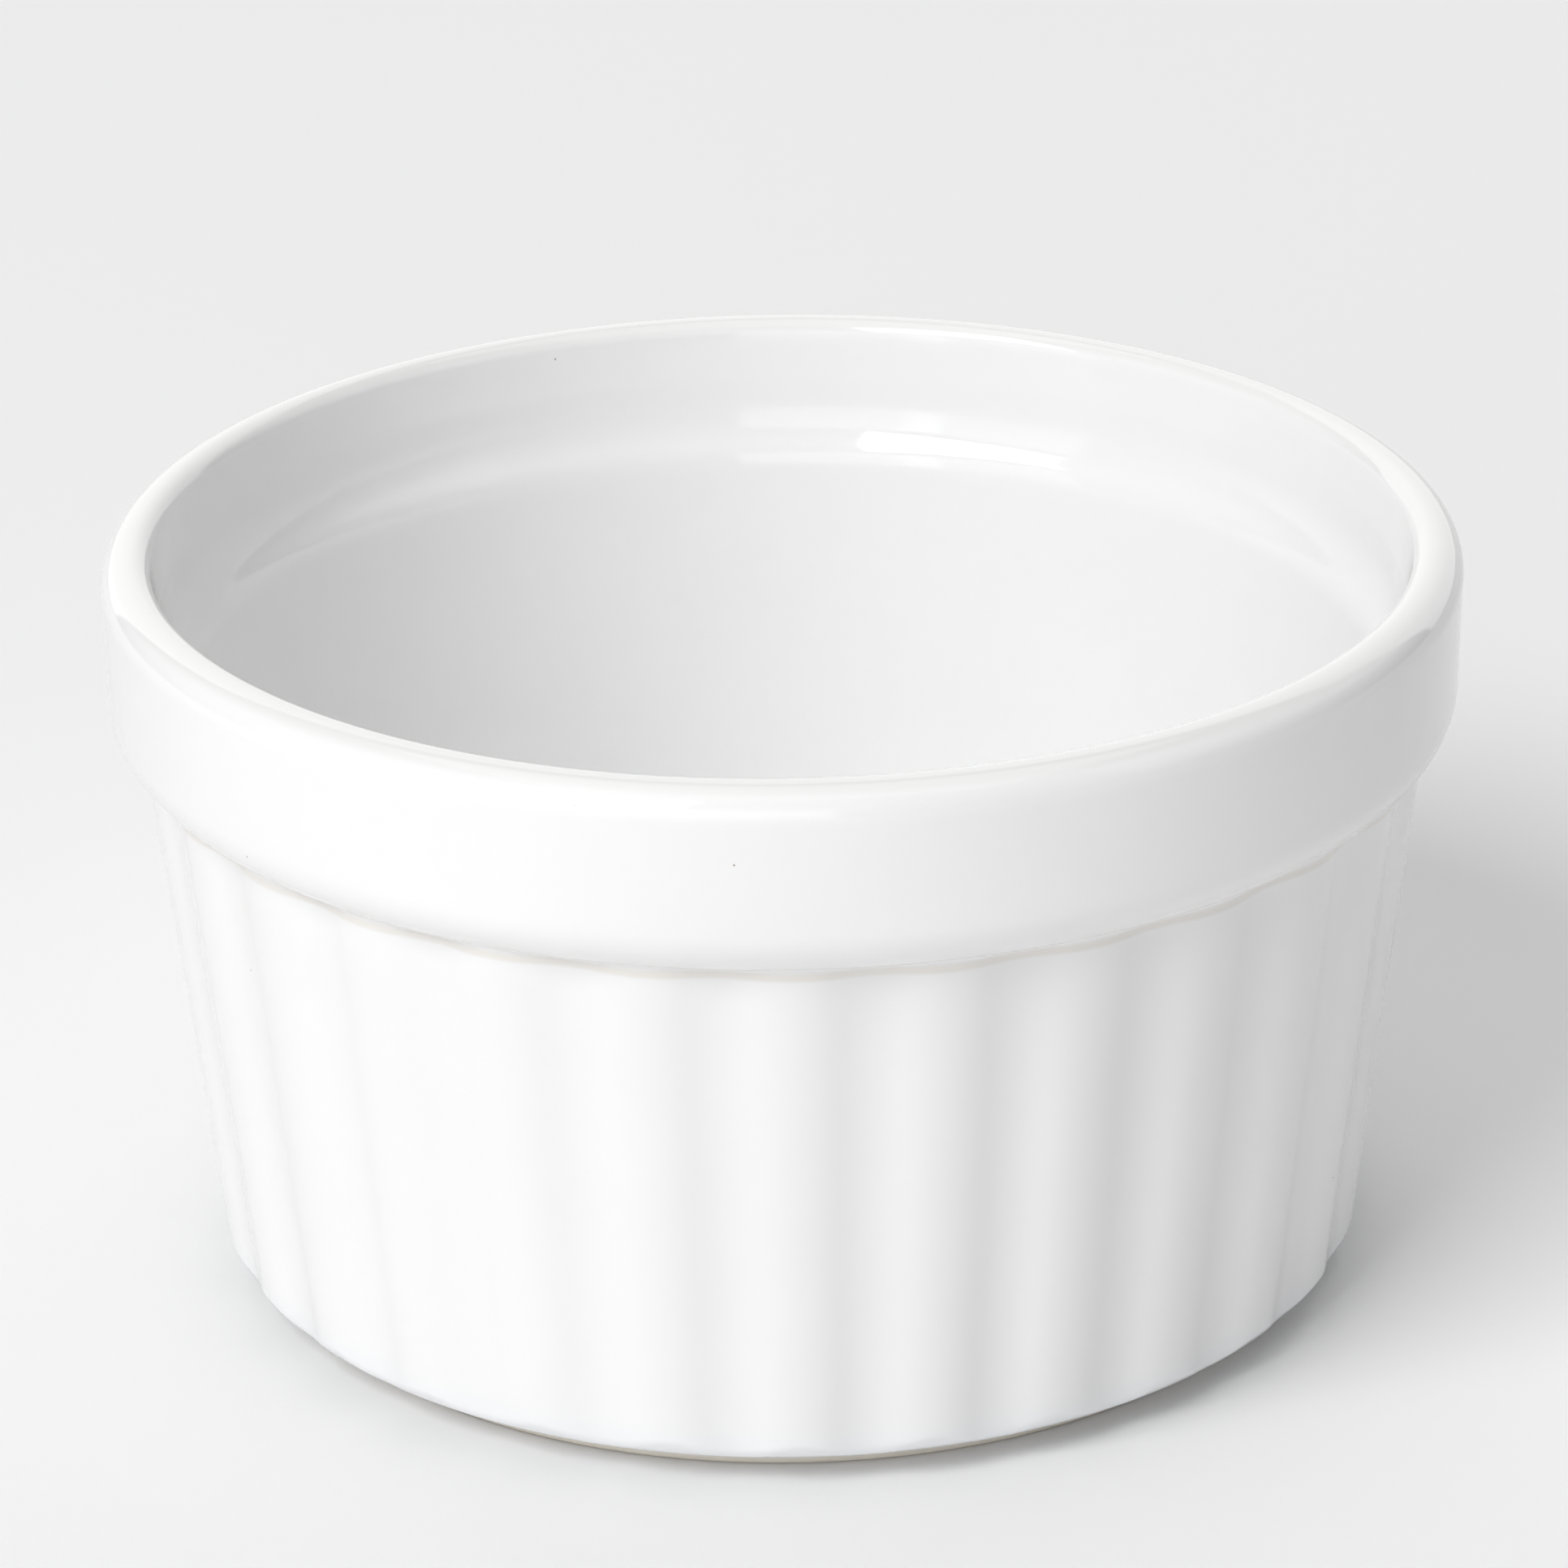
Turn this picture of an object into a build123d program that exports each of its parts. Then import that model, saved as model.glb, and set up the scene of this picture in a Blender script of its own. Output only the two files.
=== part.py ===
from build123d import *
import math
import os

os.makedirs("parts", exist_ok=True)

# A round fluted ramekin of white glazed porcelain. It stands on the XY plane with its axis on Z.
# Lengths are millimetres and angles degrees. A slope is measured from the vertical.

# Whole dish, measured over the glaze
rim_diameter = 89.0
dish_height = 50.5
glaze_thickness = 0.3

# Rim and plain collar. The overhang is how far the collar stands out over the ridges below it
rim_outer_radius = 2.1
rim_inner_radius = 1.2
collar_draft = 1.3
collar_height = 12.87
collar_overhang = 2.16
collar_underside_radius = 3.5

# Fluted wall under the collar
flute_count = 28
wall_draft = 6.56
flute_depth = 0.59
ridge_nose_radius = 8.0
heel_radius = 3.0
heel_to_ridge = 0.12

# Inside, from the rim down: a steep lip, a soft ledge behind the collar, then a plain wall
rim_lip_slope = 9.0
lip_length = 3.0
lip_radius = 8.0
inner_wall_slope = 6.56
lip_straight = 1.2
ledge_slope = 33.0
ledge_hollow_radius = 7.0
ledge_round_radius = 4.3
floor_height = 6.5
floor_fillet_radius = 9.0

# Bare foot ring, set back under the ridges, and the glazed recess inside it
foot_setback = 3.37
foot_height = 1.4
foot_face_width = 3.0
foot_edge_radius = 0.4
recess_depth = 2.0
recess_draft = 12.0
recess_fillet_radius = 1.2
foot_wipe_height = 0.6

# How far the cutting shapes run past what they cut
overrun = 5.0

rim_radius = rim_diameter / 2
crest_radius = rim_radius - rim_outer_radius
collar_bottom = dish_height - collar_height
right_angle = 90.0


def slope_shift(drop, slope):
    """How far a wall of this slope leans in over a drop in height."""
    return drop * math.tan(math.radians(slope))


def ridge_radius(height):
    """Radius of the circle over the ridges at a height of the fluted wall."""
    return rim_radius - collar_overhang - slope_shift(collar_bottom - height, wall_draft)


foot_radius = ridge_radius(foot_height) - foot_setback


def fluted_section(height, skin):
    """Section of the fluted wall: broad rounded ridges joined by hollow flutes."""
    half_pitch = math.pi / flute_count
    nose_centre = ridge_radius(height) - ridge_nose_radius
    valley = ridge_radius(height) - flute_depth
    # The hollow's radius makes it touch the noses of both ridges beside it
    reach = nose_centre * math.cos(half_pitch)
    spread = valley**2 + nose_centre**2 - 2 * valley * reach
    hollow = (spread - ridge_nose_radius**2) / (2 * (ridge_nose_radius + reach - valley))
    hollow_centre = valley + hollow
    touch_share = ridge_nose_radius / (ridge_nose_radius + hollow)
    touch_x = nose_centre + (hollow_centre * math.cos(half_pitch) - nose_centre) * touch_share
    touch_y = hollow_centre * math.sin(half_pitch) * touch_share
    # The surface under a skin lies that much deeper, square to the section
    lean_x = (touch_x - nose_centre) / ridge_nose_radius
    lean_y = touch_y / ridge_nose_radius
    touch_radius = math.hypot(touch_x - skin * lean_x, touch_y - skin * lean_y)
    touch_angle = math.degrees(math.atan2(touch_y - skin * lean_y, touch_x - skin * lean_x))
    pitch = math.degrees(2 * half_pitch)

    def spot(radius, angle):
        return Vector(radius, 0).rotate(Axis.Z, angle)

    with BuildSketch(Plane.XY.offset(height)) as section:
        with BuildLine():
            for flute in range(flute_count):
                ridge = flute * pitch
                before = spot(touch_radius, ridge - touch_angle)
                after = spot(touch_radius, ridge + touch_angle)
                following = spot(touch_radius, ridge + pitch - touch_angle)
                ThreePointArc(before, spot(ridge_radius(height) - skin, ridge), after)
                ThreePointArc(after, spot(valley - skin, ridge + pitch / 2), following)
        make_face()
    return section.sketch


def dish_form(skin):
    """The dish without its foot ring, its whole surface lying a skin's thickness deep."""
    lip_turn = right_angle - rim_lip_slope
    with BuildPart() as form:
        # Fluted wall as a solid block, its lower edge rounded off at the heel
        add(fluted_section(0, skin))
        add(fluted_section(collar_bottom + collar_underside_radius, skin))
        loft(ruled=True)
        heel_top = ridge_radius(collar_bottom + overrun) + heel_to_ridge - skin
        heel_bottom = ridge_radius(foot_height + skin) + heel_to_ridge - skin
        with BuildSketch(Plane.XZ):
            with BuildLine():
                Polyline(
                    (0, foot_height + skin),
                    (heel_bottom, foot_height + skin),
                    (heel_top, collar_bottom + overrun),
                    (0, collar_bottom + overrun),
                    close=True,
                )
            heel_face = make_face()
            heel_corner = heel_face.vertices().group_by(Axis.Y)[0].sort_by(Axis.X)[-1]
            fillet(heel_corner, heel_radius - skin)
        revolve(axis=Axis.Z, mode=Mode.INTERSECT)

        # Collar and rim, solid below the straight end of the lip
        with BuildSketch(Plane.XZ):
            with BuildLine():
                lip = JernArc(
                    (crest_radius, dish_height - skin), (-1, 0), rim_inner_radius - skin, lip_turn
                )
                slant = Line(lip @ 1, (lip @ 1) + (lip % 1) * lip_length)
                lean = JernArc(
                    slant @ 1, slant % 1, lip_radius - skin, rim_lip_slope - inner_wall_slope
                )
                rim = JernArc(
                    (crest_radius, dish_height - skin),
                    (1, 0),
                    rim_outer_radius - skin,
                    -right_angle - collar_draft,
                )
                # The underside's centre stands one radius above the collar's lowest circle
                underside_top = (
                    collar_bottom
                    + collar_underside_radius
                    - (collar_underside_radius - skin) * math.sin(math.radians(collar_draft))
                )
                wall_length = ((rim @ 1).Y - underside_top) / math.cos(math.radians(collar_draft))
                wall = Line(rim @ 1, (rim @ 1) + (rim % 1) * wall_length)
                underside = JernArc(
                    wall @ 1,
                    wall % 1,
                    collar_underside_radius - skin,
                    collar_draft - right_angle,
                )
                Polyline(underside @ 1, (0, (underside @ 1).Y), (0, (lean @ 1).Y), lean @ 1)
            make_face()
        revolve(axis=Axis.Z)

        # Hollow inside, from the end of the lip to the floor
        with BuildSketch(Plane.XZ):
            with BuildLine():
                heading = lean % 1
                straight = Line(lean @ 1, (lean @ 1) + heading * lip_straight)
                hollow = JernArc(
                    straight @ 1,
                    heading,
                    ledge_hollow_radius + skin,
                    inner_wall_slope - ledge_slope,
                )
                ledge = JernArc(
                    hollow @ 1,
                    hollow % 1,
                    ledge_round_radius - skin,
                    ledge_slope - inner_wall_slope,
                )
                sine = math.sin(math.radians(inner_wall_slope))
                fillet_top = floor_height + floor_fillet_radius
                fillet_top -= (floor_fillet_radius + skin) * sine
                wall_drop = (ledge @ 1).Y - fillet_top
                wall_length = wall_drop / math.cos(math.radians(inner_wall_slope))
                inner_wall = Line(ledge @ 1, (ledge @ 1) + (ledge % 1) * wall_length)
                floor_fillet = JernArc(
                    inner_wall @ 1,
                    inner_wall % 1,
                    floor_fillet_radius + skin,
                    inner_wall_slope - right_angle,
                )
                Polyline(
                    floor_fillet @ 1,
                    (0, (floor_fillet @ 1).Y),
                    (0, (lean @ 1).Y + overrun),
                    ((lean @ 1).X, (lean @ 1).Y + overrun),
                    lean @ 1,
                )
            make_face()
        revolve(axis=Axis.Z, mode=Mode.SUBTRACT)
    return form.part


def recess_form(skin):
    """The space inside the foot ring, its roof and side lying a skin's thickness lower."""
    mouth = foot_radius - foot_face_width - skin
    roof = recess_depth + glaze_thickness - skin
    with BuildPart() as form:
        with BuildSketch(Plane.XZ):
            with BuildLine():
                Polyline(
                    (0, -overrun),
                    (mouth + slope_shift(overrun, recess_draft), -overrun),
                    (mouth - slope_shift(roof, recess_draft), roof),
                    (0, roof),
                    close=True,
                )
            recess_face = make_face()
            roof_corner = recess_face.vertices().group_by(Axis.Y)[-1].sort_by(Axis.X)[-1]
            fillet(roof_corner, recess_fillet_radius - skin)
        revolve(axis=Axis.Z)
    return form.part


clay_form = dish_form(glaze_thickness)
glazed_form = dish_form(0)

# Fired porcelain body: the whole dish under its glaze, with the bare foot ring that it stands on
with BuildPart() as porcelain_body:
    add(clay_form)
    with BuildSketch(Plane.XY):
        Circle(foot_radius)
    extrude(amount=foot_height + glaze_thickness + recess_fillet_radius)
    add(recess_form(0), mode=Mode.SUBTRACT)
    foot_edges = porcelain_body.edges().filter_by(GeomType.CIRCLE).group_by(Axis.Z)[0]
    fillet(foot_edges, foot_edge_radius)
porcelain_body.part.label = "porcelain_body"
export_step(porcelain_body.part, "parts/porcelain_body.step")

# Glaze over the inside, rim, collar, flutes and heel, ending where the foot ring starts
with BuildPart() as glaze_coat:
    add(glazed_form)
    add(clay_form, mode=Mode.SUBTRACT)
    with BuildSketch(Plane.XY):
        Circle(foot_radius)
    extrude(amount=foot_height + glaze_thickness, mode=Mode.SUBTRACT)
glaze_coat.part.label = "glaze_coat"
export_step(glaze_coat.part, "parts/glaze_coat.step")

# Glaze on the recessed base, wiped back from the face that the dish stands on
with BuildPart() as base_glaze:
    add(recess_form(0))
    add(recess_form(glaze_thickness), mode=Mode.SUBTRACT)
    with BuildSketch(Plane.XY.offset(foot_wipe_height)):
        Circle(foot_radius)
    extrude(amount=-foot_wipe_height - 2 * overrun, mode=Mode.SUBTRACT)
base_glaze.part.label = "base_glaze"
export_step(base_glaze.part, "parts/base_glaze.step")
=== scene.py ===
import math

import bmesh
import bpy
from mathutils import Matrix, Vector, noise


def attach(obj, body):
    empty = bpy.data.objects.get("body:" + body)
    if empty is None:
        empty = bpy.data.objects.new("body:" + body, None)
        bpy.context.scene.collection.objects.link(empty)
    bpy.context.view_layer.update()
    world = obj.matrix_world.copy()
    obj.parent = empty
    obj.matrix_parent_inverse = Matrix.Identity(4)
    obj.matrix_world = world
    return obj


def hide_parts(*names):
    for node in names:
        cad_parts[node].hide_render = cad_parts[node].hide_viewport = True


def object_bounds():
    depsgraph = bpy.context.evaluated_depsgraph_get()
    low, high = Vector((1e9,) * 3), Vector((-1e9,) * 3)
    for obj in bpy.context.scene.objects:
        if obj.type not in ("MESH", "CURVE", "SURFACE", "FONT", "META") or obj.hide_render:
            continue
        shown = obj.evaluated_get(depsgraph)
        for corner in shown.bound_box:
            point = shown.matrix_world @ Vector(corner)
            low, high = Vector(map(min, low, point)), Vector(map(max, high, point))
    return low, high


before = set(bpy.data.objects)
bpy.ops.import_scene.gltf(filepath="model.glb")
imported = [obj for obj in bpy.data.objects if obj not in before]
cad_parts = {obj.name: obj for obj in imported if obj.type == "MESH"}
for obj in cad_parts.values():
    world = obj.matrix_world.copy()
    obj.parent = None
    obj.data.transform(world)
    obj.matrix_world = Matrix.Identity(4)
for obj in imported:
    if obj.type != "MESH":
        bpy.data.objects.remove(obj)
cadLow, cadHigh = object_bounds()
scene = bpy.context.scene
mm = 0.001
sharpAngle = 50               # degrees; faces that meet at more are shaded with an edge
print("frame loaded:", sorted(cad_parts))

# The glaze coat, in millimetres and degrees. Heights run from the face that the foot stands on,
# slopes from the vertical.
glazeCoat = {
    "skin": 0.3,                  # how thick the glaze lies
    "rimOuterRadius": 2.1,
    "rimInnerRadius": 1.2,
    "collarDraft": 1.3,
    "collarHeight": 12.87,
    "collarOverhang": 2.16,       # how far the collar stands out over the ridges
    "undersideRadius": 3.5,
    "creaseRadius": 0.55,         # glaze pooled in the corner under the collar
    "flutes": 28,
    "fluteDepth": 0.59,
    "noseRadius": 8.0,            # the broad rounded ridge between two flutes
    "wallDraft": 6.56,
    "heelRadius": 3.0,
    "heelToRidge": 0.12,
    "heelSoftening": 1.4,         # rounds the flutes' lower ends into the heel
    "footHeight": 1.4,
    "footSetback": 3.37,
    "lipSlope": 9.0,
    "lipLength": 3.0,
    "lipRadius": 8.0,
    "innerSlope": 6.56,
    "lipStraight": 1.2,
    "ledgeSlope": 33.0,
    "ledgeHollowRadius": 7.0,
    "ledgeRoundRadius": 4.3,
    "floorHeight": 6.5,
    "floorFilletRadius": 9.0,
    "edgeRoll": 0.13,             # rounded edge where the glaze stops at the foot ring
    "stepsPerFlute": 14,
    # How many steps the outer section takes along each stretch, from the foot ring to the axis
    "steps": {"edge": 4, "footFace": 4, "heel": 12, "heelEnd": 6, "wall": 28, "crease": 8,
              "underside": 16, "collar": 8, "rim": 20, "rimInside": 12, "lip": 4, "lean": 4,
              "lipStraight": 2, "ledgeHollow": 10, "ledgeRound": 10, "innerWall": 20,
              "floorFillet": 16, "floor": 14},
    "innerCoarseness": 4,         # the hidden inner face has one step for this many outer ones
    "wobble": 0.02,               # hand-finished unevenness of the surface
    "wobbleLength": 14.0,
}


def spot(centre, radius, fall):
    # A point on a circle in a radial section; fall is the angle below the outward direction
    turn = math.radians(fall)
    return centre[0] + radius * math.cos(turn), centre[1] - radius * math.sin(turn)


def arc(centre, radius, start, end, steps):
    return [spot(centre, radius, start + (end - start) * k / steps) for k in range(steps + 1)]


def run(start, end, steps):
    return [tuple(Vector(start).lerp(Vector(end), k / steps)) for k in range(steps + 1)]


def chain(start, heading, moves):
    # Tangent arcs and straights one after another; heading is measured from +r towards +z
    points = [start]
    for length, turn, steps in moves:
        r, z = points[-1]
        if not turn:
            way = math.radians(heading)
            end = (r + length * math.cos(way), z + length * math.sin(way))
            points += run((r, z), end, steps)[1:]
            continue
        side = math.copysign(90, turn)
        centre = spot((r, z), length, -heading - side)
        points += arc(centre, length, -heading + side, -heading + side - turn, steps)[1:]
        heading += turn
    return points


def fluteInset(ridgeRadius, angle):
    # How deep the section lies inside the circle over the ridges, at an angle from a ridge's crest
    shape = glazeCoat
    halfPitch = math.pi / shape["flutes"]
    noseCentre = ridgeRadius - shape["noseRadius"]
    valley = ridgeRadius - shape["fluteDepth"]
    reach = noseCentre * math.cos(halfPitch)
    spread = valley ** 2 + noseCentre ** 2 - 2 * valley * reach
    hollow = (spread - shape["noseRadius"] ** 2) / (2 * (shape["noseRadius"] + reach - valley))
    touchShare = shape["noseRadius"] / (shape["noseRadius"] + hollow)
    touchX = noseCentre + ((valley + hollow) * math.cos(halfPitch) - noseCentre) * touchShare
    touchY = (valley + hollow) * math.sin(halfPitch) * touchShare
    if angle < math.atan2(touchY, touchX):
        side = noseCentre * math.sin(angle)
        rise = math.sqrt(shape["noseRadius"] ** 2 - side ** 2)
        return ridgeRadius - noseCentre * math.cos(angle) - rise
    side = (valley + hollow) * math.sin(halfPitch - angle)
    middle = (valley + hollow) * math.cos(halfPitch - angle)
    return ridgeRadius - middle + math.sqrt(hollow ** 2 - side ** 2)


def coatSection(angle, skin, coarseness):
    # Radial section of the glazed surface, from the foot ring out, up, over the rim and in to
    # the axis. skin is how deep below the surface the section lies.
    shape = glazeCoat
    steps = {stretch: max(1, count // coarseness) for stretch, count in shape["steps"].items()}
    rimRadius, height = cadHigh.x / mm, cadHigh.z / mm
    crest = rimRadius - shape["rimOuterRadius"]
    draft = shape["wallDraft"]
    tangent, cosine, sine = (f(math.radians(draft)) for f in (math.tan, math.cos, math.sin))
    collarBottom = height - shape["collarHeight"]
    ridgeTop = rimRadius - shape["collarOverhang"]

    def across(point):
        # Distance along the wall's outward normal
        return point[0] * cosine - point[1] * sine

    pitch = 2 * math.pi / shape["flutes"]
    fromCrest = abs((angle + pitch / 2) % pitch - pitch / 2)
    middleHeight = collarBottom / 2
    inset = fluteInset(ridgeTop - (collarBottom - middleHeight) * tangent, fromCrest)
    wall = across((ridgeTop, collarBottom)) - inset * cosine - skin

    heelHeight = shape["footHeight"] + shape["heelRadius"]
    heelWall = across((ridgeTop, collarBottom)) + shape["heelToRidge"] * cosine - shape["heelRadius"]
    heel = ((heelWall + heelHeight * sine) / cosine, heelHeight)
    heelRadius, soft = shape["heelRadius"] - skin, shape["heelSoftening"] - skin
    out = wall - across(heel) - soft
    down = math.sqrt((heelRadius - soft) ** 2 - out ** 2)
    softCentre = (heel[0] + out * cosine - down * sine, heel[1] - out * sine - down * cosine)
    softTurn = math.degrees(math.atan2(down, out))

    underside = spot((crest, height - shape["rimOuterRadius"]),
                     shape["rimOuterRadius"] - shape["undersideRadius"], shape["collarDraft"])
    dropTo = collarBottom + shape["undersideRadius"]
    lean = (underside[1] - dropTo) * math.tan(math.radians(shape["collarDraft"]))
    underside = (underside[0] - lean, dropTo)
    underRadius, crease = shape["undersideRadius"] - skin, shape["creaseRadius"] + skin
    out = wall - across(underside) + crease
    down = math.sqrt((underRadius + crease) ** 2 - out ** 2)
    creaseCentre = (underside[0] + out * cosine - down * sine,
                    underside[1] - out * sine - down * cosine)
    creaseTurn = math.degrees(math.atan2(down, out))

    footRadius = ridgeTop - (collarBottom - shape["footHeight"]) * tangent - shape["footSetback"]
    foot = shape["footHeight"] + skin
    points = [] if skin else arc((footRadius + shape["edgeRoll"], foot + shape["edgeRoll"]),
                                 shape["edgeRoll"], 180, 90, steps["edge"])
    start = points[-1] if points else (footRadius, foot)
    points += run(start, (heel[0], foot), steps["footFace"])[bool(points):]
    points += arc(heel, heelRadius, 90, draft + softTurn, steps["heel"])[1:]
    points += arc(softCentre, soft, draft + softTurn, draft, steps["heelEnd"])[1:]
    points += run(points[-1], spot(creaseCentre, crease, draft + 180), steps["wall"])[1:]
    points += arc(creaseCentre, crease, draft + 180, draft + 180 + creaseTurn, steps["crease"])[1:]
    points += arc(underside, underRadius, draft + creaseTurn, shape["collarDraft"],
                  steps["underside"])[1:]
    rimCentre = (crest, height - shape["rimOuterRadius"])
    points += run(points[-1], spot(rimCentre, shape["rimOuterRadius"] - skin, shape["collarDraft"]),
                  steps["collar"])[1:]
    points += arc(rimCentre, shape["rimOuterRadius"] - skin, shape["collarDraft"], -90,
                  steps["rim"])[1:]

    slope, ledge = shape["innerSlope"], shape["ledgeSlope"]
    moves = [
        (shape["rimInnerRadius"] - skin, 90 - shape["lipSlope"], steps["rimInside"]),
        (shape["lipLength"], 0, steps["lip"]),
        (shape["lipRadius"] - skin, shape["lipSlope"] - slope, steps["lean"]),
        (shape["lipStraight"], 0, steps["lipStraight"]),
        (shape["ledgeHollowRadius"] + skin, slope - ledge, steps["ledgeHollow"]),
        (shape["ledgeRoundRadius"] - skin, ledge - slope, steps["ledgeRound"]),
    ]
    points += chain(points[-1], 180, moves)[1:]
    filletTop = (shape["floorHeight"] + shape["floorFilletRadius"]
                 - (shape["floorFilletRadius"] + skin) * math.sin(math.radians(slope)))
    wallLength = (points[-1][1] - filletTop) / math.cos(math.radians(slope))
    moves = [
        (wallLength, 0, steps["innerWall"]),
        (shape["floorFilletRadius"] + skin, slope - 90, steps["floorFillet"]),
    ]
    points += chain(points[-1], 270 - slope, moves)[1:]
    floorRun = run(points[-1], (0, points[-1][1]), steps["floor"])
    return points + floorRun[1:-1], floorRun[-1][1]


def unevenness(point, amount, length):
    # Smooth noise from where the point is, so that both sides of a seam move alike
    return noise.noise(Vector(point) / length) * amount


def makeCoat():
    shape = glazeCoat
    columns = shape["flutes"] * shape["stepsPerFlute"]
    mesh = bmesh.new()
    rings = []
    for column in range(columns):
        angle = 2 * math.pi * column / columns
        outer, outerFloor = coatSection(angle, 0, 1)
        inner, innerFloor = coatSection(angle, shape["skin"], shape["innerCoarseness"])
        ring = []
        for side, section in ((1, outer), (0, inner)):
            for r, z in section:
                push = side * unevenness((r * math.cos(angle), r * math.sin(angle), z),
                                         shape["wobble"], shape["wobbleLength"])
                x, y = (r + push) * math.cos(angle), (r + push) * math.sin(angle)
                ring.append(mesh.verts.new(Vector((x, y, z)) * mm))
        rings.append((ring, len(outer)))
    outerPole = mesh.verts.new(Vector((0, 0, outerFloor)) * mm)
    innerPole = mesh.verts.new(Vector((0, 0, innerFloor)) * mm)
    for column, (ring, turn) in enumerate(rings):
        following = rings[(column + 1) % columns][0]
        for k in range(turn - 1):
            mesh.faces.new((ring[k], following[k], following[k + 1], ring[k + 1]))
        mesh.faces.new((ring[turn - 1], following[turn - 1], outerPole))
        for k in range(turn, len(ring) - 1):
            mesh.faces.new((ring[k + 1], following[k + 1], following[k], ring[k]))
        mesh.faces.new((innerPole, following[-1], ring[-1]))
        mesh.faces.new((ring[turn], following[turn], following[0], ring[0]))
    return finishMesh(mesh, "glazeCoat")


def finishMesh(mesh, name):
    bmesh.ops.recalc_face_normals(mesh, faces=mesh.faces)
    data = bpy.data.meshes.new(name)
    mesh.to_mesh(data)
    mesh.free()
    data.shade_smooth()
    data.set_sharp_from_angle(angle=math.radians(sharpAngle))
    piece = bpy.data.objects.new(name, data)
    scene.collection.objects.link(piece)
    return piece


# The glaze on the recessed base, in millimetres and degrees
baseGlaze = {
    "skin": 0.3,
    "roofHeight": 2.0,
    "mouthRadius": 31.8,
    "wallDraft": 12.0,
    "filletRadius": 1.2,
    "wipeHeight": 0.6,
    "steps": 240,             # round the axis
    "filletSteps": 8,
    "roofSteps": 16,
}


def baseSection(skin):
    # The recess's surface, skin deep into it, from the wiped edge up and in to the axis
    shape = baseGlaze
    roof = shape["roofHeight"] + shape["skin"] - skin
    tangent = math.tan(math.radians(shape["wallDraft"]))
    radius = shape["filletRadius"] - skin
    mouth = shape["mouthRadius"] - skin
    wipe = shape["wipeHeight"]
    # The fillet's centre stands its radius away from the roof and from the leaning wall
    centreHeight = roof - radius
    standOff = radius / math.cos(math.radians(shape["wallDraft"]))
    centre = (mouth - centreHeight * tangent - standOff, centreHeight)
    points = [(mouth - wipe * tangent, wipe)]
    points += arc(centre, radius, -shape["wallDraft"], -90, shape["filletSteps"])
    points += run(points[-1], (0, roof), shape["roofSteps"])[1:-1]
    return points, roof


def makeBaseGlaze():
    steps = baseGlaze["steps"]
    mesh = bmesh.new()
    lower, lowerRoof = baseSection(baseGlaze["skin"])
    upper, upperRoof = baseSection(0)
    rings = []
    for step in range(steps):
        turn = 2 * math.pi * step / steps
        rings.append([mesh.verts.new(Vector((r * math.cos(turn), r * math.sin(turn), z)) * mm)
                      for r, z in lower + upper])
    lowerPole = mesh.verts.new(Vector((0, 0, lowerRoof)) * mm)
    upperPole = mesh.verts.new(Vector((0, 0, upperRoof)) * mm)
    turn = len(lower)
    for step, ring in enumerate(rings):
        following = rings[(step + 1) % steps]
        for k in [*range(turn - 1), *range(turn, len(ring) - 1)]:
            mesh.faces.new((ring[k], following[k], following[k + 1], ring[k + 1]))
        mesh.faces.new((ring[turn - 1], following[turn - 1], lowerPole))
        mesh.faces.new((ring[-1], following[-1], upperPole))
        mesh.faces.new((ring[turn], following[turn], following[0], ring[0]))
    return finishMesh(mesh, "baseGlaze")


def linear(code):
    channels = [int(code[k:k + 2], 16) / 255 for k in (1, 3, 5)]
    return [c / 12.92 if c <= 0.04045 else ((c + 0.055) / 1.055) ** 2.4 for c in channels] + [1]


def addNode(tree, kind, settings=None, links=None):
    # settings go to the node's own options or to its sockets' values, links to its sockets
    node = tree.nodes.new(kind)
    for name, value in (settings or {}).items():
        if isinstance(name, str) and hasattr(node, name):
            setattr(node, name, value)
        else:
            node.inputs[name].default_value = value
    for name, source in (links or {}).items():
        tree.links.new(source, node.inputs[name])
    return node


# Clear gloss glaze over white porcelain, dipped and fired: white, with a mirror-sharp sheen and slow
# ripples in it, cooler at the heel, and a few specks of iron from the clay. The rim's top is painted
# a shade greyer, and the crease a shade darker and warmer where the glaze pools: painted shade.
# Lengths and heights are millimetres.
glazeFinish = {
    "colour": "#F6F6F6",
    "clouding": "#F3F3F3",      # slightly uneven white, where the glaze lies thinner
    "cloudLength": 11.0,
    "cloudDetail": 2.0,
    # Where each tint lies: low and high, how softly it ends, and how far from the axis it starts
    # Painted shade: greys the top of the rim, which faces the key box, by a shade
    "rimTint": "#EFEFEE",
    "rimPlace": (50.2, 51.5, 0.4, 40.0),
    # Painted shade: a darker, warmer band in the crease under the collar, where the glaze also pools
    "creaseTint": "#EEEBE7",
    "creasePlace": (37.3, 37.55, 0.3, 41.2),
    "heelTint": "#F2F4F7",
    "heelPlace": (-1.0, 1.8, 3.0, 33.5),
    "speckColour": "#A8A298",
    "speckSpacing": 7.0,
    "speckRadius": 0.09,
    "roughness": 0.06,
    "roughnessSpread": 0.03,
    "ior": 1.5,
    "rippleLength": 3.0,
    "rippleDetail": 1.0,
    "rippleRoughness": 0.4,
    "rippleHeight": 0.0006,
}


def newMaterial(name):
    material = bpy.data.materials.new(name)
    material.use_nodes = True
    material.node_tree.nodes.clear()
    return material, material.node_tree


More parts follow.
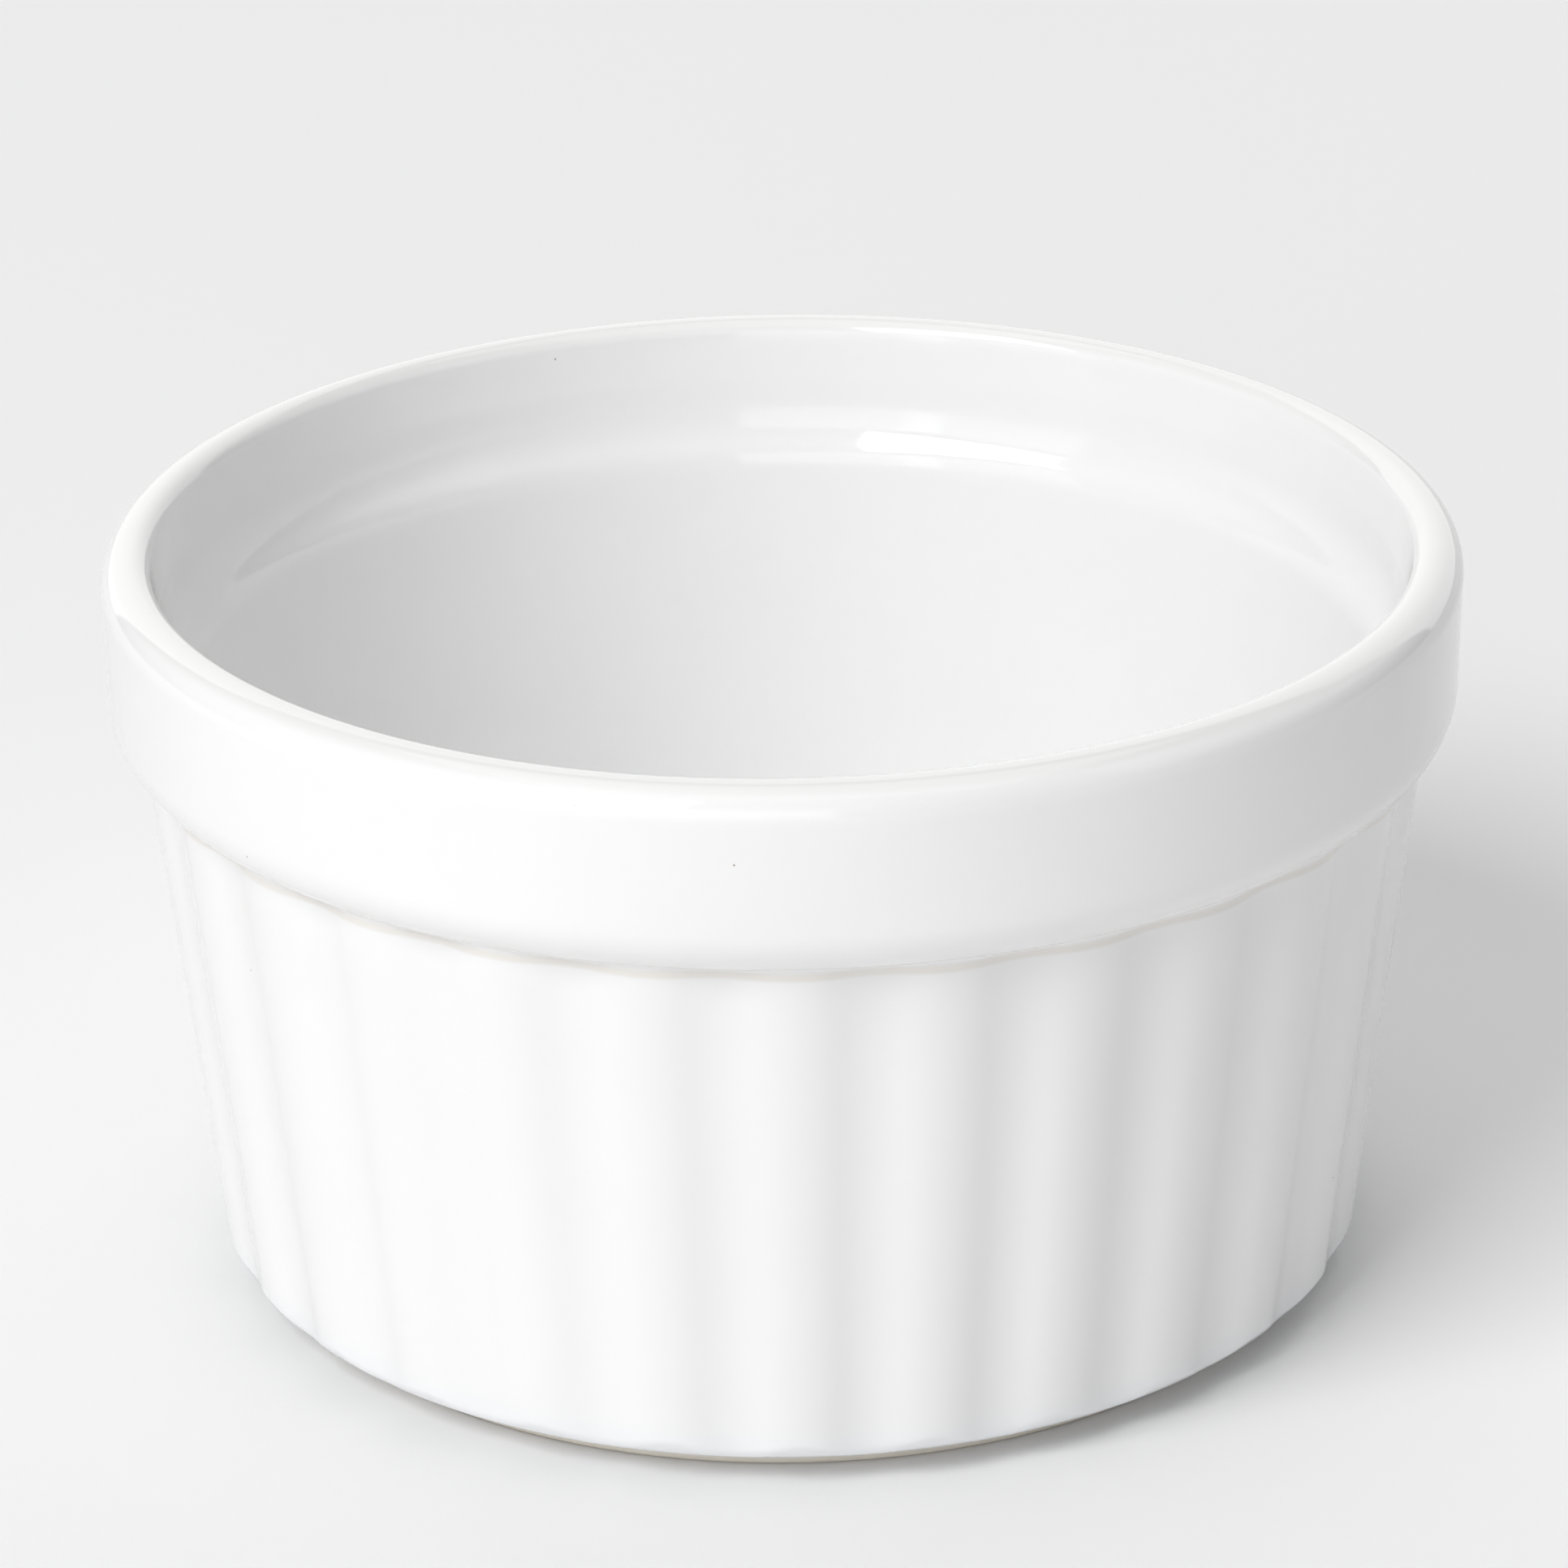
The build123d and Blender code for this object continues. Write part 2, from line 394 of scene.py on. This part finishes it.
def tintShare(tree, height, radius, place):
    # 1 where a tint lies, fading to 0 over its soft ends and nearer to the axis
    low, high, soft, start = (value * mm for value in place)
    rise = addNode(tree, "ShaderNodeMapRange",
                   {"interpolation_type": "SMOOTHSTEP", "From Min": low - soft, "From Max": low},
                   {"Value": height})
    fall = addNode(tree, "ShaderNodeMapRange",
                   {"interpolation_type": "SMOOTHSTEP", "From Min": high + soft, "From Max": high},
                   {"Value": height})
    outside = addNode(tree, "ShaderNodeMapRange", {"From Min": start - soft, "From Max": start},
                      {"Value": radius})
    share = rise.outputs["Result"]
    for other in (fall, outside):
        product = addNode(tree, "ShaderNodeMath", {"operation": "MULTIPLY"})
        tree.links.new(share, product.inputs[0])
        tree.links.new(other.outputs["Result"], product.inputs[1])
        share = product.outputs["Value"]
    return share


def tinted(tree, colour, tint, share):
    # The colour so far, with a tint laid over a share of it
    mix = addNode(tree, "ShaderNodeMixRGB", {"Color2": linear(tint)}, {"Fac": share})
    if isinstance(colour, str):
        mix.inputs["Color1"].default_value = linear(colour)
    else:
        tree.links.new(colour, mix.inputs["Color1"])
    return mix.outputs["Color"]


def glazedPorcelain():
    look = glazeFinish
    material, tree = newMaterial("glazedWhitePorcelain")
    place = addNode(tree, "ShaderNodeTexCoord").outputs["Object"]
    height = addNode(tree, "ShaderNodeSeparateXYZ", None, {"Vector": place}).outputs["Z"]
    level = addNode(tree, "ShaderNodeVectorMath", {"operation": "MULTIPLY"})
    tree.links.new(place, level.inputs[0])
    level.inputs[1].default_value = (1, 1, 0)
    radius = addNode(tree, "ShaderNodeVectorMath", {"operation": "LENGTH"},
                     {"Vector": level.outputs["Vector"]}).outputs["Value"]
    clouds = addNode(tree, "ShaderNodeTexNoise",
                     {"Scale": 1 / (look["cloudLength"] * mm), "Detail": look["cloudDetail"]},
                     {"Vector": place}).outputs["Fac"]
    colour = tinted(tree, look["colour"], look["clouding"], clouds)
    # The rim's and the crease's tints are painted shade; the heel's is a cooler tone of the glaze
    for part in ("rim", "crease", "heel"):
        share = tintShare(tree, height, radius, look[part + "Place"])
        colour = tinted(tree, colour, look[part + "Tint"], share)
    cells = addNode(tree, "ShaderNodeTexVoronoi", {"Scale": 1 / (look["speckSpacing"] * mm)},
                    {"Vector": place})
    # The distance is measured in cells, so the radius is too
    reach = look["speckRadius"] / look["speckSpacing"]
    specks = addNode(tree, "ShaderNodeMapRange",
                     {"interpolation_type": "SMOOTHSTEP", "From Min": reach, "From Max": reach / 2},
                     {"Value": cells.outputs["Distance"]})
    colour = tinted(tree, colour, look["speckColour"], specks.outputs["Result"])
    gloss = addNode(tree, "ShaderNodeMapRange",
                    {"To Min": look["roughness"],
                     "To Max": look["roughness"] + look["roughnessSpread"]},
                    {"Value": clouds})
    ripple = addNode(tree, "ShaderNodeTexNoise",
                     {"Scale": 1 / (look["rippleLength"] * mm), "Detail": look["rippleDetail"],
                      "Roughness": look["rippleRoughness"]},
                     {"Vector": place})
    bump = addNode(tree, "ShaderNodeBump", {"Strength": 1.0, "Distance": look["rippleHeight"] * mm},
                   {"Height": ripple.outputs["Fac"]})
    glaze = addNode(tree, "ShaderNodeBsdfPrincipled", {"IOR": look["ior"]},
                    {"Base Color": colour, "Roughness": gloss.outputs["Result"],
                     "Normal": bump.outputs["Normal"]})
    addNode(tree, "ShaderNodeOutputMaterial", None, {"Surface": glaze.outputs["BSDF"]})
    return material


# Bare fired porcelain of the foot ring, ground flat: a warm pale stone colour, dry and matt
bisqueFinish = {
    "colour": "#EFE8DC",
    "roughness": 0.75,
    "ior": 1.5,
    "grainLength": 0.25,      # millimetres
    "grainHeight": 0.01,      # millimetres
    "grainDetail": 3.0,
}


def bareBisque():
    look = bisqueFinish
    material, tree = newMaterial("bareFiredPorcelain")
    place = addNode(tree, "ShaderNodeTexCoord").outputs["Object"]
    grain = addNode(tree, "ShaderNodeTexNoise",
                    {"Scale": 1 / (look["grainLength"] * mm), "Detail": look["grainDetail"]},
                    {"Vector": place})
    bump = addNode(tree, "ShaderNodeBump", {"Strength": 1.0, "Distance": look["grainHeight"] * mm},
                   {"Height": grain.outputs["Fac"]})
    bisque = addNode(tree, "ShaderNodeBsdfPrincipled",
                     {"Base Color": linear(look["colour"]), "Roughness": look["roughness"],
                      "IOR": look["ior"]},
                     {"Normal": bump.outputs["Normal"]})
    addNode(tree, "ShaderNodeOutputMaterial", None, {"Surface": bisque.outputs["BSDF"]})
    return material


glaze = glazedPorcelain()
bisque = bareBisque()
print("materials made")

coat = makeCoat()
coat.data.materials.append(glaze)
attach(coat, "root")
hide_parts("glaze_coat")
print("glaze coat made:", len(coat.data.vertices), "points")

underGlaze = makeBaseGlaze()
underGlaze.data.materials.append(glaze)
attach(underGlaze, "root")
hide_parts("base_glaze")
print("base glaze made")

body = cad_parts["porcelain_body"]
body.data.materials.clear()
body.data.materials.append(bisque)
print("foot ring finished")

# The studio: a pale paper floor under soft boxes. Bearings are degrees to the right of the camera
# and elevations degrees over the floor, both as the dish sees them.
studio = {
    "floorSize": 6.0,             # metres
    "floorColour": "#F2F2F2",
    "floorRoughness": 0.9,
    "floorSpecular": 0.2,
    "viewTurn": -0.66,            # degrees; the camera stands this far round from -Y
    "boxDistance": 1.6,           # metres
    "room": 0.09,                 # light from the rest of the room, 1 is white
}

# brightness is how bright the box's face is, 1 is white
softBoxes = {
    "keyBox": {"bearing": -40, "span": 44, "low": 34, "high": 58, "brightness": 7.5},
    "frontPanel": {"bearing": -12, "span": 40, "low": 1, "high": 30, "brightness": 1.35},
    "lowPanel": {"bearing": -43, "span": 38, "low": 1, "high": 30, "brightness": 1.0},
    "backWall": {"bearing": 175, "span": 90, "low": 1, "high": 50, "brightness": 1.2},
    "rightWall": {"bearing": 95, "span": 70, "low": 25, "high": 55, "brightness": 0.4},
}

# The pale ceiling over the table, in metres
ceiling = {
    "height": 2.4,
    "size": 2.4,
    "brightness": 0.98,
}


def makeFloor():
    half = studio["floorSize"] / 2
    mesh = bmesh.new()
    corners = ((-half, -half, 0), (half, -half, 0), (half, half, 0), (-half, half, 0))
    mesh.faces.new([mesh.verts.new(corner) for corner in corners])
    floor = finishMesh(mesh, "paperFloor")
    material, tree = newMaterial("mattWhitePaper")
    paper = addNode(tree, "ShaderNodeBsdfPrincipled",
                    {"Base Color": linear(studio["floorColour"]),
                     "Roughness": studio["floorRoughness"],
                     "Specular IOR Level": studio["floorSpecular"]})
    addNode(tree, "ShaderNodeOutputMaterial", None, {"Surface": paper.outputs["BSDF"]})
    floor.data.materials.append(material)
    return floor


def towards(bearing, elevation, distance):
    # A place in the studio: bearing in degrees to the right of the camera, as the dish sees it
    turn = math.radians(-90 + studio["viewTurn"] + bearing)
    rise = math.radians(elevation)
    level = math.cos(rise)
    return Vector((math.cos(turn) * level, math.sin(turn) * level, math.sin(rise))) * distance


def makeCeiling():
    light = bpy.data.lights.new("ceiling", "AREA")
    light.shape = "SQUARE"
    light.size = ceiling["size"]
    light.energy = ceiling["brightness"] * math.pi * light.size ** 2
    panel = bpy.data.objects.new("ceiling", light)
    scene.collection.objects.link(panel)
    panel.location = (0, 0, ceiling["height"])
    return panel


def makeSoftBox(name, shape):
    distance = studio["boxDistance"]
    low, high = (math.tan(math.radians(shape[k])) * distance for k in ("low", "high"))
    light = bpy.data.lights.new(name, "AREA")
    light.shape = "RECTANGLE"
    light.size = 2 * distance * math.tan(math.radians(shape["span"] / 2))
    light.size_y = high - low
    # A face of brightness 1 gives off pi watts from each square metre
    light.energy = shape["brightness"] * math.pi * light.size * light.size_y
    box = bpy.data.objects.new(name, light)
    scene.collection.objects.link(box)
    place = towards(shape["bearing"], 0, distance)
    box.location = place + Vector((0, 0, (low + high) / 2))
    box.rotation_euler = (-place).to_track_quat("-Z", "Y").to_euler()
    return box


makeFloor()
for name, shape in softBoxes.items():
    makeSoftBox(name, shape)
makeCeiling()
world = bpy.data.worlds.new("room")
scene.world = world
world.use_nodes = True
world.node_tree.nodes["Background"].inputs["Color"].default_value = linear("#FFFFFF")
world.node_tree.nodes["Background"].inputs["Strength"].default_value = studio["room"]
print("studio lit")

# The camera, fitted to the edges of the dish in the photograph, in millimetres and degrees
view = {
    "distance": 460.12,
    "elevation": 24.34,
    "pivotHeight": 20.0,
    "aim": (-0.051, 0.0, 32.314),
    "roll": -0.763,
    "lens": 157.32,
    "sensor": 36.0,
}


def makeCamera():
    rise = math.radians(view["elevation"])
    turn = Matrix.Rotation(math.radians(studio["viewTurn"]), 3, "Z")
    place = turn @ Vector((0, -math.cos(rise) * view["distance"],
                           math.sin(rise) * view["distance"] + view["pivotHeight"]))
    ahead = (turn @ Vector(view["aim"]) - place).normalized()
    right = ahead.cross(Vector((0, 0, 1))).normalized()
    up = right.cross(ahead)
    roll = math.radians(view["roll"])
    across = right * math.cos(roll) + up * math.sin(roll)
    over = up * math.cos(roll) - right * math.sin(roll)
    lens = bpy.data.cameras.new("camera")
    lens.lens = view["lens"]
    lens.sensor_width = view["sensor"]
    camera = bpy.data.objects.new("camera", lens)
    scene.collection.objects.link(camera)
    camera.matrix_world = Matrix((across, over, -ahead)).transposed().to_4x4()
    camera.location = place * mm
    return camera


scene.camera = makeCamera()
scene.view_settings.view_transform = "Standard"
print("camera placed")
